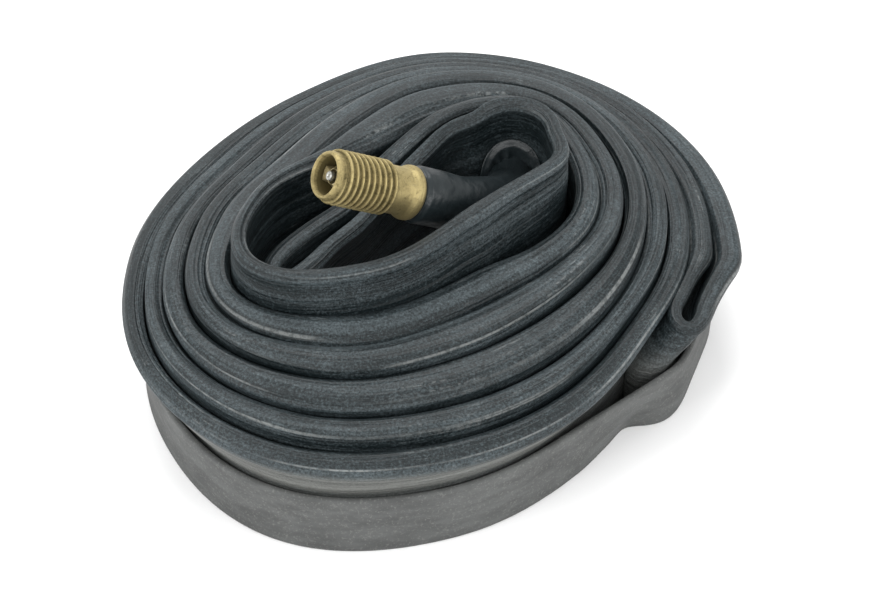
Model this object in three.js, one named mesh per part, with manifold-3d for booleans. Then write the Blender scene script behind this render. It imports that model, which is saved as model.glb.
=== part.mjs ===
// Bicycle inner tube, emptied, folded along its length, rolled up double and held by a rubber band.
// Units are millimetres. +Z is up, the roll stands on z = 0 with its bounding box centred on the origin.
import * as THREE from 'three';
import { mergeVertices } from 'three/addons/utils/BufferGeometryUtils.js';
import Module from 'manifold-3d';

const wasm = await Module();
wasm.setup();

// ---------------------------------------------------------------- the roll
const ROLL_MIDDLE = new THREE.Vector2(0.19, -2.33); // place of the winding's middle in the part's frame
const DEGREES_PER_STATION = 10; // spacing of the tube's sections around the winding
const GAP = 0.35; // air between neighbouring strands
const FLOOR = 0; // the surface that the roll stands on

// The tube lies double, so two strands are wound together. Each list gives how far a face stands from the
// middle of the roll, every 30 degrees anticlockwise from +X, from the outside of the roll inwards.
// LEAD is the outer face of the leading strand, SHARED the face between the leading and the trailing one.
const LIST_STEP = 30;
const LEAD = [
  44.4, 46.0, 46.9, 46.4, 42.0, 41.2, 43.9, 46.4, 45.0, 40.0, 36.2, 33.6,
  36.2, 39.1, 40.9, 39.8, 35.6, 34.2, 37.6, 40.2, 36.9, 31.4, 28.2, 27.8,
  29.8, 33.0, 35.2, 33.0, 28.4, 26.8, 30.6, 34.0, 27.8, 20.4, 17.6, 18.8,
  22.6, 25.0, 27.0, 20.6, 15.6, 17.0, 23.6, 28.6, 20.6, 12.8, 9.6,
];
const SHARED = [
  40.0, 42.2, 43.9, 43.1, 39.0, 37.7, 40.7, 43.2, 40.9, 35.8, 32.4, 30.6,
  33.0, 36.1, 38.0, 36.4, 32.0, 30.4, 34.2, 37.0, 32.4, 25.9, 22.8, 23.1,
  26.3, 29.2, 31.2, 28.0, 22.2, 20.4, 26.2, 30.9, 23.0, 15.4, 12.5, 14.8,
  18.9, 21.4, 23.6,
];
const LEAD_END = 1140; // degrees wound when the leading strand leaves the spiral
const TRAIL_END = 1020; // the same for the trailing strand

// Height of each strand's folded edge, every 90 degrees wound.
const CREST_STEP = 90;
const LEAD_CREST = [15.6, 16.0, 16.3, 16.6, 17.6, 19.3, 20.0, 20.8, 22.0, 23.6, 23.6, 24.2, 25.0, 26.5];
const TRAIL_CREST = [16.6, 17.4, 18.0, 18.8, 19.6, 21.0, 21.8, 22.8, 24.0, 25.0, 27.8, 31.0, 31.0];

// The strands flare outwards above the band. FLARE is the outermost strand's, every 30 degrees; it fades to
// nothing at the last turn.
const FLARE = [5.0, 3.0, 2.0, 1.5, 1.5, 2.0, 3.2, 4.0, 1.0, 1.3, 3.2, 3.8];
const FLARE_FOOT = 10.5;
const FLARE_HEAD = 15;
const FLARE_FADE = 1080;

// Bends and free stretches between the two spirals: x, y from the winding's middle, crest height, thickness
// and, at the outer bend, how far its foot lies from its crest in x and y.
const BEND_LEAN = [-3.5, -1.5];
const OUTER_BEND = [
  [36.7, -3.9, 16.4, 2.6, ...BEND_LEAN], [35.1, -7.9, 16.3, 2.6, ...BEND_LEAN],
  [33.7, -11.4, 16.0, 2.4, ...BEND_LEAN], [34.0, -13.5, 15.9, 2.2, ...BEND_LEAN],
  [35.5, -14.4, 15.8, 2.2, ...BEND_LEAN], [37.0, -12.6, 15.7, 2.6, ...BEND_LEAN],
  [38.9, -8.2, 15.6, 3.2, ...BEND_LEAN],
  [40.5, -4.2, 15.6, 3.4, ...BEND_LEAN],
];
const RUN_TO_INNER_BEND = [
  [8.3, 21.6, 26.5, 3.0], [4.5, 20.4, 26.6, 3.0], [0.3, 17.9, 26.4, 3.0], [-4.0, 13.9, 25.4, 3.0],
  [-7.8, 9.8, 24.2, 2.8], [-12.2, 3.9, 22.5, 2.8], [-17.3, -0.4, 21.8, 2.8], [-21.6, -5.2, 21.4, 2.6],
];
const INNER_BEND = [[-23.0, -8.6, 21.2, 2.2], [-21.2, -10.4, 21.2, 2.2]];
const RUN_TO_POCKET = [
  [-18.3, -8.2, 21.2, 2.4], [-14.6, -3.2, 21.4, 2.2], [-11.0, 0.6, 21.8, 2.2], [-8.0, 4.6, 22.8, 2.0],
  [-5.0, 8.4, 24.2, 2.0], [-1.7, 11.8, 25.8, 2.0], [1.4, 14.4, 27.6, 2.0], [3.7, 14.7, 29.0, 2.0],
  [5.4, 14.1, 29.9, 2.0],
];
const RUN_FROM_POCKET = [
  [17.6, 7.6, 31.0, 2.0], [17.8, 5.2, 31.0, 2.1], [17.2, 3.0, 31.0, 2.2], [15.4, 0.3, 31.0, 2.3],
  [11.4, -3.9, 31.0, 2.4],
];

// The innermost loop is a round pocket; the valve is vulcanised to its concave wall.
const POCKET = { x: 11.0, y: 10.4, radius: 5.9, from: 135, to: -5, steps: 12, crest: 30.8, thickness: 2.0 };

// Sections through a strand: across in thicknesses, up in millimetres from the floor or down from the crest.
const AIR_SLOT = 0.14; // half width of the flattened air space, in thicknesses
const AIR_FOOT = 1.6;
const AIR_HEAD = 1.8;

// ---------------------------------------------------------------- the rubber band
const BAND = { width: 10.5, thickness: 1.0, clearance: 0.36 };

// ---------------------------------------------------------------- the valve
const MOUTH = new THREE.Vector3(-15.0, -7.4, 37.6); // from the winding's middle
const VALVE_AXIS = new THREE.Vector3(0.772, 0.34, -0.538).normalize(); // from the mouth inwards
const VALVE_SIDES = 24;
const THREAD = { major: 7.7, minor: 6.75, pitch: 0.794, from: 0.6, ridges: 12 };
const STEM = { mouth: 6.1, core: 5.3, seat: 4.0, neck: 6.7, collar: 8.0, spigot: 5.6, length: 26 };
const SLEEVE = { radius: 4.1, bore: 3.2, air: 1.1, start: 15.1, sides: 14, steps: 12 };
const PATCH = { radius: 6.4, thickness: 1.2, span: 72, height: 18.0, standOff: 0.34 };
const PATCH_FACE = POCKET.radius - POCKET.thickness / 2 - PATCH.standOff;
const STEM_ROUTE = [[8.7, 5.9, 20.6], [10.5, 10.2, 18.4], [11.0, 13.6, 18.0]]; // below the brass, to the patch
const CORE_SIDES = 20;
const SPRING = { radius: 0.86, wire: 0.3, turns: 6, from: 7.05, to: 12.45 };

// ---------------------------------------------------------------- materials
const butyl = (color, roughness) => new THREE.MeshStandardMaterial({ color, roughness, metalness: 0 });
const metal = (color, roughness) => new THREE.MeshStandardMaterial({ color, roughness, metalness: 1 });
const finishes = {
  tube: butyl(0x50565c, 0.6),
  band: butyl(0x55534f, 0.85),
  valveRubber: butyl(0x2c2f33, 0.4),
  brass: metal(0xd2b56e, 0.45),
  coreBrass: metal(0xa98d4c, 0.5),
  steel: metal(0x9a9a96, 0.4),
  seal: butyl(0x202020, 0.7),
};

// ---------------------------------------------------------------- small tools
const radians = THREE.MathUtils.degToRad;

/** Smooth value of an evenly spaced list at a place between its entries. */
function along(list, place) {
  const i = Math.min(Math.floor(place), list.length - 2);
  const t = place - i;
  const [a, b, c, d] = [-1, 0, 1, 2].map((k) => list[THREE.MathUtils.clamp(i + k, 0, list.length - 1)]);
  return b + 0.5 * t * (c - a + t * (2 * a - 5 * b + 4 * c - d + t * (3 * (b - c) + d - a)));
}

/** Closed solid from a geometry, with its shared corners merged. */
function solid(geometry) {
  geometry.deleteAttribute('normal');
  geometry.deleteAttribute('uv');
  const merged = mergeVertices(geometry, 1e-5);
  return new wasm.Manifold(new wasm.Mesh({
    numProp: 3,
    vertProperties: new Float32Array(merged.attributes.position.array),
    triVerts: new Uint32Array(merged.index.array),
  }));
}

/** Geometry of a solid after joins and cuts. */
function geometryOf(manifold) {
  const { vertProperties, triVerts } = manifold.getMesh();
  const geometry = new THREE.BufferGeometry();
  geometry.setAttribute('position', new THREE.BufferAttribute(vertProperties, 3));
  geometry.setIndex(new THREE.BufferAttribute(triVerts, 1));
  return geometry;
}

function named(name, geometry, material) {
  const mesh = new THREE.Mesh(geometry, material);
  mesh.name = name;
  return mesh;
}

/** Ring of any section, given as [radius, height] corners, turned about the local Y axis. */
function turned(corners, sides) {
  const profile = corners.map(([radius, height]) => new THREE.Vector2(radius, height));
  return new THREE.LatheGeometry([...profile, profile[0].clone()], sides);
}

/** Solid of revolution that reaches the axis at both ends. */
function turnedSolid(corners, sides) {
  return new THREE.LatheGeometry(corners.map(([radius, height]) => new THREE.Vector2(radius, height)), sides);
}

/** Round bar along a curve. */
function bar(curve, radius, sides, steps) {
  const section = new THREE.Shape();
  for (let i = 0; i < sides; i++) {
    const a = (2 * Math.PI * i) / sides;
    const corner = [radius * Math.cos(a), radius * Math.sin(a)];
    if (i === 0) section.moveTo(...corner);
    else section.lineTo(...corner);
  }
  section.closePath();
  return new THREE.ExtrudeGeometry(section, { steps, extrudePath: curve, bevelEnabled: false });
}

/** Joins rings of corners, one ring after another and the last to the first, into a closed skin. */
function closedSkin(rings) {
  const size = rings[0].length;
  const index = [];
  rings.forEach((_, i) => {
    const next = (i + 1) % rings.length;
    for (let j = 0; j < size; j++) {
      const k = (j + 1) % size;
      const [a, b, c, d] = [i * size + j, i * size + k, next * size + k, next * size + j];
      index.push(a, c, b, a, d, c);
    }
  });
  const geometry = new THREE.BufferGeometry();
  geometry.setAttribute('position', new THREE.Float32BufferAttribute(rings.flat(2), 3));
  geometry.setIndex(index);
  return geometry;
}

// ---------------------------------------------------------------- the tube's route
/** Flare of a face after so many degrees of winding, fading with its depth in the roll. */
function flareAt(wound, depth) {
  const place = (wound % 360) / LIST_STEP;
  return along([...FLARE, ...FLARE.slice(0, 3)], place) * Math.max(0, 1 - depth / FLARE_FADE);
}

/** One section of the tube where it is wound: its outer and inner face, measured from the middle. */
function woundStation(wound, depth, outer, inner, crest) {
  const angle = radians(wound);
  const outerFlare = flareAt(wound, depth);
  const innerFlare = flareAt(wound, depth + 180);
  return {
    out: new THREE.Vector2(Math.cos(angle), Math.sin(angle)),
    middle: (outer + inner) / 2,
    base: new THREE.Vector2(0, 0),
    thickness: outer - inner - GAP,
    lean: new THREE.Vector2(Math.cos(angle), Math.sin(angle)).multiplyScalar(-(outerFlare + innerFlare) / 2),
    pinch: outerFlare - innerFlare,
    crest,
  };
}

function leadStation(wound) {
  const place = wound / LIST_STEP;
  return woundStation(wound, wound, along(LEAD, place), along(SHARED, place),
    along(LEAD_CREST, wound / CREST_STEP));
}

function trailStation(wound) {
  const place = wound / LIST_STEP;
  return woundStation(wound, wound + 180, along(SHARED, place), along(LEAD, place + 360 / LIST_STEP),
    along(TRAIL_CREST, wound / CREST_STEP));
}

/** Sections along a free stretch, with their faces across the smooth line through its points. */
function freeStations(points, before, after, perPoint) {
  const all = [before, ...points, after];
  const line = new THREE.CatmullRomCurve3(all.map(([x, y, crest]) => new THREE.Vector3(x, y, crest)));
  const widths = new THREE.CatmullRomCurve3(all.map((p) => new THREE.Vector3(p[3], p[4] ?? 0, p[5] ?? 0)));
  const pieces = (all.length - 1) * perPoint;
  const stations = [];
  for (let i = perPoint; i <= pieces - perPoint; i++) {
    const at = line.getPoint(i / pieces);
    const heading = line.getTangent(i / pieces);
    const out = new THREE.Vector2(heading.y, -heading.x).normalize();
    const width = widths.getPoint(i / pieces);
    stations.push({
      out, middle: 0, base: new THREE.Vector2(at.x, at.y), thickness: width.x,
      lean: new THREE.Vector2(width.y, width.z), pinch: 0, crest: at.z,
    });
  }
  return stations;
}

/** Sections round the pocket, whose centre line is a true arc. */
function pocketStations() {
  const stations = [];
  for (let i = 0; i <= POCKET.steps; i++) {
    const angle = radians(THREE.MathUtils.lerp(POCKET.from, POCKET.to, i / POCKET.steps));
    const out = new THREE.Vector2(Math.cos(angle), Math.sin(angle));
    const base = new THREE.Vector2(POCKET.x, POCKET.y).addScaledVector(out, POCKET.radius);
    stations.push({
      out, middle: 0, base, thickness: POCKET.thickness, lean: new THREE.Vector2(0, 0), pinch: 0,
      crest: POCKET.crest,
    });
  }
  return stations;
}

const asPoint = (s) => [
  s.base.x + s.out.x * s.middle, s.base.y + s.out.y * s.middle, s.crest, s.thickness, s.lean.x, s.lean.y,
];

/** All sections of the tube, once round its closed loop, each facing out to the right of the way it runs. */
function tubeStations() {
  const lead = [];
  for (let wound = 0; wound <= LEAD_END; wound += DEGREES_PER_STATION) lead.push(leadStation(wound));
  const trail = [];
  for (let wound = TRAIL_END; wound >= 0; wound -= DEGREES_PER_STATION) trail.push(trailStation(wound));
  trail.forEach((s) => { s.reversed = true; });
  const pocket = pocketStations();
  pocket.forEach((s) => { s.reversed = true; });
  const inner = [...RUN_TO_INNER_BEND, ...INNER_BEND, ...RUN_TO_POCKET];
  return [
    ...lead,
    ...freeStations(inner, asPoint(lead.at(-1)), asPoint(pocket[0]), 2),
    ...pocket,
    ...freeStations(RUN_FROM_POCKET, asPoint(pocket.at(-1)), asPoint(trail[0]), 1),
    ...trail,
    ...freeStations(OUTER_BEND, asPoint(trail.at(-1)), asPoint(lead[0]), 2),
  ];
}

/** Corner of a section: across from -0.5 to 0.5 thicknesses, at a height. */
function corner(station, across, height) {
  const rise = THREE.MathUtils.clamp((height - FLARE_FOOT) / (FLARE_HEAD - FLARE_FOOT), 0, 1);
  const side = station.reversed ? -across : across;
  const thickness = station.thickness - station.pinch * (1 - rise);
  const reach = station.middle + side * thickness;
  return [
    station.base.x + station.out.x * reach + station.lean.x * (1 - rise) + ROLL_MIDDLE.x,
    station.base.y + station.out.y * reach + station.lean.y * (1 - rise) + ROLL_MIDDLE.y,
    height,
  ];
}

function outerRing(station) {
  const { crest, thickness } = station;
  const foot = 0.16 * thickness;
  return [
    [-0.34, FLOOR], [0.34, FLOOR], [0.5, FLOOR + foot], [0.5, FLARE_FOOT], [0.5, crest - 0.5 * thickness],
    [0.35, crest - 0.15 * thickness], [0, crest], [-0.35, crest - 0.15 * thickness],
    [-0.5, crest - 0.5 * thickness], [-0.5, FLARE_FOOT], [-0.5, FLOOR + foot],
  ].map(([across, height]) => corner(station, across, height));
}

function airRing(station) {
  const head = station.crest - AIR_HEAD;
  return [
    [-AIR_SLOT, AIR_FOOT], [AIR_SLOT, AIR_FOOT], [AIR_SLOT, FLARE_FOOT], [AIR_SLOT, head],
    [-AIR_SLOT, head], [-AIR_SLOT, FLARE_FOOT],
  ].map(([across, height]) => corner(station, across, height));
}

function makeTube(stations) {
  const skin = solid(closedSkin(stations.map(outerRing)));
  const air = solid(closedSkin(stations.map(airRing)));
  const hole = new THREE.CylinderGeometry(SLEEVE.air, SLEEVE.air, 2 * POCKET.thickness, 8);
  hole.translate(POCKET.x, POCKET.y + POCKET.radius - POCKET.thickness, PATCH.height);
  hole.translate(ROLL_MIDDLE.x, ROLL_MIDDLE.y, 0);
  return geometryOf(skin.subtract(air).subtract(solid(hole)));
}

// ---------------------------------------------------------------- the rubber band
/** Outline that a stretched band takes round a set of points: their convex hull, anticlockwise. */
function hull(points) {
  const sorted = [...points].sort((a, b) => a[0] - b[0] || a[1] - b[1]);
  const turn = (a, b, c) => (b[0] - a[0]) * (c[1] - a[1]) - (b[1] - a[1]) * (c[0] - a[0]);
  const half = (list) => {
    const chain = [];
    for (const p of list) {
      while (chain.length > 1 && turn(chain.at(-2), chain.at(-1), p) <= 0) chain.pop();
      chain.push(p);
    }
    return chain.slice(0, -1);
  };
  return [...half(sorted), ...half([...sorted].reverse())];
}

/** Outline moved outwards by a distance, corner by corner. */
function grown(outline, distance) {
  return outline.map((p, i) => {
    const before = outline.at(i - 1);
    const after = outline[(i + 1) % outline.length];
    const a = new THREE.Vector2(p[1] - before[1], before[0] - p[0]).normalize();
    const b = new THREE.Vector2(after[1] - p[1], p[0] - after[0]).normalize();
    const out = a.add(b).normalize();
    const stretch = 1 / Math.max(0.7, out.dot(b));
    return new THREE.Vector2(p[0] + out.x * distance * stretch, p[1] + out.y * distance * stretch);
  });
}

function makeBand(stations) {
  const touch = stations.flatMap((s) => [corner(s, 0.5, FLOOR + 1), corner(s, -0.5, FLOOR + 1)]);
  const round = hull(touch);
  const shape = new THREE.Shape(grown(round, BAND.clearance + BAND.thickness));
  shape.holes.push(new THREE.Path(grown(round, BAND.clearance).reverse()));
  return new THREE.ExtrudeGeometry(shape, { depth: BAND.width, bevelEnabled: false });
}

// ---------------------------------------------------------------- the valve
const onAxis = (depth) => MOUTH.clone().addScaledVector(VALVE_AXIS, depth);

/** Line of the rubber-covered stem: straight round the brass, then bent down to the patch. */
function stemLine(from) {
  const bent = STEM_ROUTE.map(([x, y, z]) => new THREE.Vector3(x, y, z));
  const line = [onAxis(from), onAxis((from + 25) / 2), onAxis(25), ...bent];
  return new THREE.CatmullRomCurve3(line);
}

/** Upright slab that follows the pocket's wall between two distances from its middle. */
function pocketSlab(nearest, farthest, half) {
  const middle = Math.PI / 2;
  const sector = new THREE.Shape();
  sector.absarc(POCKET.x, POCKET.y, farthest, middle - half, middle + half, false);
  sector.absarc(POCKET.x, POCKET.y, nearest, middle + half, middle - half, true);
  sector.closePath();
  const slab = new THREE.ExtrudeGeometry(sector, {
    depth: 2 * PATCH.radius, bevelEnabled: false, curveSegments: 12,
  });
  slab.translate(0, 0, PATCH.height - PATCH.radius);
  return solid(slab);
}

/** Curved pad that lies on the pocket's concave wall, with a round outline. */
function makePatch() {
  const round = new THREE.CylinderGeometry(PATCH.radius, PATCH.radius, 4 * POCKET.radius, VALVE_SIDES);
  round.translate(POCKET.x, POCKET.y, PATCH.height);
  return pocketSlab(PATCH_FACE - PATCH.thickness, PATCH_FACE, radians(PATCH.span)).intersect(solid(round));
}

function makeValveRubber() {
  const { radius, bore, air, start, sides, steps } = SLEEVE;
  const sleeve = solid(bar(stemLine(start), radius, sides, steps));
  const seat = solid(bar(new THREE.LineCurve3(onAxis(start - 1), onAxis(STEM.length + 0.3)), bore, sides, 1));
  const end = new THREE.Vector3(...STEM_ROUTE.at(-1)).add(new THREE.Vector3(0, POCKET.thickness, 0));
  const below = [onAxis(STEM.length - 2), ...STEM_ROUTE.map((p) => new THREE.Vector3(...p)), end];
  const passage = solid(bar(new THREE.CatmullRomCurve3(below), air, 8, steps));
  const wall = pocketSlab(PATCH_FACE, 2 * POCKET.radius, radians(100));
  const rubber = makePatch().add(sleeve.subtract(wall)).subtract(seat).subtract(passage);
  return geometryOf(rubber.translate([ROLL_MIDDLE.x, ROLL_MIDDLE.y, 0]));
}

/** Threaded brass stem: corners run up the outside from the mouth and back through the bore. */
function makeStem() {
  const [major, minor, neck] = [THREAD.major / 2, THREAD.minor / 2, STEM.neck / 2];
  const threadEnd = THREAD.from + THREAD.ridges * THREAD.pitch;
  const corners = [[STEM.mouth / 2, 0], [minor + 0.1, 0]];
  for (let i = 0; i < THREAD.ridges; i++) {
    const foot = THREAD.from + i * THREAD.pitch;
    corners.push([minor, foot], [major, foot + THREAD.pitch * 0.45], [major, foot + THREAD.pitch * 0.6]);
  }
  corners.push(
    [neck, threadEnd + 0.2], [neck, 12.6], [STEM.collar / 2, 13.8], [STEM.collar / 2, 14.5],
    [STEM.collar / 2 - 0.4, 14.8], [STEM.spigot / 2, 14.8], [STEM.spigot / 2, STEM.length],
    [STEM.seat / 2, STEM.length], [STEM.seat / 2, 10.4], [STEM.core / 2, 8.8], [STEM.core / 2, 0.8],
  );
  return turned(corners, VALVE_SIDES);
}

/** Core plug: a short screwed ring with a driving bar across its top. */
function makeCorePlug() {
  const plug = solid(turned([[1.0, 1.4], [2.32, 1.4], [2.32, 4.6], [1.0, 4.6]], CORE_SIDES));
  const notch = new THREE.BoxGeometry(1.6, 2.0, 6);
  const left = solid(notch.clone().translate(1.95, 1.4, 0));
  const right = solid(notch.translate(-1.95, 1.4, 0));
  return geometryOf(plug.subtract(left).subtract(right));
}

function makeCoreBarrel() {
  return turned([
    [0.75, 4.9], [2.1, 4.9], [2.1, 8.2], [1.5, 8.5], [1.5, 11.0], [1.65, 11.3], [1.65, 14.2],
    [0.75, 14.2], [0.75, 12.9], [1.25, 12.9], [1.25, 5.6], [0.75, 5.6],
  ], CORE_SIDES);
}

/** Valve pin: head at the mouth, a collar that the spring pushes on, and a riveted end. */
function makeCorePin() {
  return turnedSolid([
    [0, 0.7], [0.5, 0.7], [0.68, 0.9], [0.68, 1.3], [0.4, 1.5], [0.4, 6.1], [0.95, 6.1], [0.95, 6.6],
    [0.4, 6.6], [0.4, 17.0], [0.8, 17.1], [0.8, 17.5], [0, 17.5],
  ], CORE_SIDES);
}

function makeSpring() {
  const { radius, wire, turns, from, to } = SPRING;
  const helix = [];
  for (let i = 0; i <= turns * 8; i++) {
    const a = (i / 8) * 2 * Math.PI;
    const rise = THREE.MathUtils.lerp(from, to, i / (turns * 8));
    helix.push(new THREE.Vector3(radius * Math.cos(a), rise, radius * Math.sin(a)));
  }
  return bar(new THREE.CatmullRomCurve3(helix), wire / 2, 6, turns * 10);
}

function makeValve() {
  const valve = new THREE.Group();
  valve.position.copy(MOUTH).add(new THREE.Vector3(ROLL_MIDDLE.x, ROLL_MIDDLE.y, 0));
  valve.quaternion.setFromUnitVectors(new THREE.Vector3(0, 1, 0), VALVE_AXIS);
  const sealRing = [[1.8, 8.7], [2.2, 8.7], [1.95, 9.7], [1.8, 9.7]];
  const cup = [[0.7, 14.9], [1.0, 14.9], [1.0, 16.5], [1.5, 16.5], [1.5, 16.8], [0.7, 16.8]];
  const seal = [[1.3, 14.5], [1.68, 14.5], [1.68, 16.2], [1.3, 16.2]];
  valve.add(
    named('valve_stem', makeStem(), finishes.brass),
    named('core_plug', makeCorePlug(), finishes.coreBrass),
    named('core_barrel', makeCoreBarrel(), finishes.coreBrass),
    named('core_seal_ring', turned(sealRing, CORE_SIDES), finishes.seal),
    named('core_pin', makeCorePin(), finishes.steel),
    named('pin_spring', makeSpring(), finishes.steel),
    named('pin_cup', turned(cup, CORE_SIDES), finishes.coreBrass),
    named('pin_seal', turned(seal, CORE_SIDES), finishes.seal),
  );
  return valve;
}

// ---------------------------------------------------------------- the assembly
const stations = tubeStations();
const innerTube = new THREE.Group();
innerTube.add(
  named('tube', makeTube(stations), finishes.tube),
  named('rubber_band', makeBand(stations), finishes.band),
  named('valve_rubber', makeValveRubber(), finishes.valveRubber),
  makeValve(),
);

export default innerTube;
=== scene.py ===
"""Visual model of an emptied bicycle inner tube, rolled up double and held by a rubber band.

Everything is built in metres in the part's own frame: +Z up, the roll standing on z = 0. Lengths written in
the classes are millimetres and are scaled once, when a mesh is made.
"""

import logging
import math
from dataclasses import dataclass
from enum import Enum
from typing import Any, Dict, List, Optional, Sequence, Tuple

import bpy
import numpy as np
from mathutils import Matrix, Vector


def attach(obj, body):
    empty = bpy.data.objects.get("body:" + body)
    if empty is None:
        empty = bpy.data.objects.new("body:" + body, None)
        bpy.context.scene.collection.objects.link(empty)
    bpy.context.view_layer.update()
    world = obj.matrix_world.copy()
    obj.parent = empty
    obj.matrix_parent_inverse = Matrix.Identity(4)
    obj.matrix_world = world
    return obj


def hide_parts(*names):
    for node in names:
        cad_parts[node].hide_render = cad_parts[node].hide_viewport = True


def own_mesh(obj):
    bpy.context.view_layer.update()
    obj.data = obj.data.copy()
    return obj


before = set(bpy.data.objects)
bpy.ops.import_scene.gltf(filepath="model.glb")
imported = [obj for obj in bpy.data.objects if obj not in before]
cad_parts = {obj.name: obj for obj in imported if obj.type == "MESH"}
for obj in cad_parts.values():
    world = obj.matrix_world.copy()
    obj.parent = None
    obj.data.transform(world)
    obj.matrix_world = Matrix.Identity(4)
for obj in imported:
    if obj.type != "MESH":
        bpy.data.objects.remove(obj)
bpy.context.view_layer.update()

MM = 0.001
TURN = 2.0 * math.pi
FLOOR_REACH = 3.0  # metres from the middle to each side of the floor
FLOOR_DROP = 0.00005  # metres by which the floor lies below the roll, so that the two never share a face
WORLD_STRENGTH = 0.85
SENSOR_WIDTH = 36.0
LOG = logging.getLogger("inner_tube")

Point = Tuple[float, float, float]


# --------------------------------------------------------------------------------------------- arithmetic
def smooth(t: np.ndarray) -> np.ndarray:
    """Eases values between 0 and 1, flat at both ends."""
    t = np.clip(t, 0.0, 1.0)
    return t * t * (3.0 - 2.0 * t)


def along(values: Sequence[float], place: np.ndarray) -> np.ndarray:
    """Reads an evenly spaced list smoothly between its entries.

    Args:
        values: The list.
        place: Where to read it, in entries from the first.

    Returns:
        The value at each place.
    """
    table = np.asarray(values, float)
    i = np.clip(np.floor(place).astype(int), 0, len(table) - 2)
    t = place - i
    a, b, c, d = (table[np.clip(i + k, 0, len(table) - 1)] for k in (-1, 0, 1, 2))
    return b + 0.5 * t * (c - a + t * (2 * a - 5 * b + 4 * c - d + t * (3 * (b - c) + d - a)))


def blur_loop(values: np.ndarray, sigma: float) -> np.ndarray:
    """Smooths values that run round a closed loop.

    Args:
        values: One row for each place on the loop.
        sigma: Spread of the smoothing, in rows.

    Returns:
        The smoothed rows.
    """
    reach = int(math.ceil(3 * sigma))
    kernel = np.exp(-0.5 * (np.arange(-reach, reach + 1) / sigma) ** 2)
    kernel /= kernel.sum()
    return sum(k * np.roll(values, shift, axis=0) for k, shift in zip(kernel, range(-reach, reach + 1)))


def curve_through(points: np.ndarray, per_span: int) -> np.ndarray:
    """Centripetal Catmull-Rom curve through the middle spans of a list of points.

    Args:
        points: Points as rows, the first and last only steering the ends.
        per_span: How many points each span gets.

    Returns:
        Points along the curve from the second point to the last but one.
    """
    rows: List[np.ndarray] = []
    for i in range(1, len(points) - 2):
        p0, p1, p2, p3 = points[i - 1 : i + 3]
        t1 = max(1e-6, np.linalg.norm(p1[:2] - p0[:2])) ** 0.5
        t2 = t1 + max(1e-6, np.linalg.norm(p2[:2] - p1[:2])) ** 0.5
        t3 = t2 + max(1e-6, np.linalg.norm(p3[:2] - p2[:2])) ** 0.5
        for t in np.linspace(t1, t2, per_span, endpoint=False):
            a1 = p0 * (t1 - t) / t1 + p1 * t / t1
            a2 = p1 * (t2 - t) / (t2 - t1) + p2 * (t - t1) / (t2 - t1)
            a3 = p2 * (t3 - t) / (t3 - t2) + p3 * (t - t2) / (t3 - t2)
            b1 = a1 * (t2 - t) / t2 + a2 * t / t2
            b2 = a2 * (t3 - t) / (t3 - t1) + a3 * (t - t1) / (t3 - t1)
            rows.append(b1 * (t2 - t) / (t2 - t1) + b2 * (t - t1) / (t2 - t1))
    rows.append(points[-2])
    return np.array(rows)


def resample_loop(rows: np.ndarray, step: float) -> np.ndarray:
    """Spaces the rows of a closed loop evenly along its plan.

    Args:
        rows: Rows that start with x and y.
        step: Wanted spacing.

    Returns:
        New rows, evenly spaced, interpolated in every column.
    """
    closed = np.vstack([rows, rows[:1]])
    lengths = np.concatenate([[0.0], np.cumsum(np.linalg.norm(np.diff(closed[:, :2], axis=0), axis=1))])
    count = int(round(lengths[-1] / step))
    where = np.linspace(0.0, lengths[-1], count, endpoint=False)
    return np.column_stack([np.interp(where, lengths, closed[:, k]) for k in range(closed.shape[1])])


@dataclass
class Ripple:
    """Smooth random relief over a surface that closes on itself along its length.

    Attributes:
        seed: Start of the random draw.
        along_mm: Length of one swell along the surface.
        across_mm: Length of one swell across it.
        height: Height of the swells.
    """

    seed: int
    along_mm: float
    across_mm: float
    height: float

    def relief(self, length: float, at: np.ndarray, across: np.ndarray) -> np.ndarray:
        """Height of the relief at each crossing of two scales.

        Args:
            length: Length of the closed loop.
            at: Places along the loop.
            across: Places across the surface.

        Returns:
            Heights, with a row for each place along and a column for each place across.
        """
        rows = max(3, int(round(length / self.along_mm)))
        columns = int(math.ceil((across.max() - across.min()) / self.across_mm)) + 3
        table = np.random.default_rng(self.seed).uniform(-1.0, 1.0, (rows, columns))
        u = at / length * rows
        v = (across - across.min()) / self.across_mm
        iu = np.floor(u).astype(int)
        iv = np.floor(v).astype(int)
        fu = smooth(u - iu)[:, None]
        fv = smooth(v - iv)[None, :]
        corner = [[table[(iu + a) % rows][:, iv + b] for b in (0, 1)] for a in (0, 1)]
        near = corner[0][0] * (1 - fv) + corner[0][1] * fv
        far = corner[1][0] * (1 - fv) + corner[1][1] * fv
        return self.height * (near * (1 - fu) + far * fu)


# --------------------------------------------------------------------------------------------- meshes
class Ends(Enum):
    """How the two ends of a skin of rings are closed."""

    LOOP = "joined to each other"
    CAPPED = "each closed by a fan"


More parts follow.
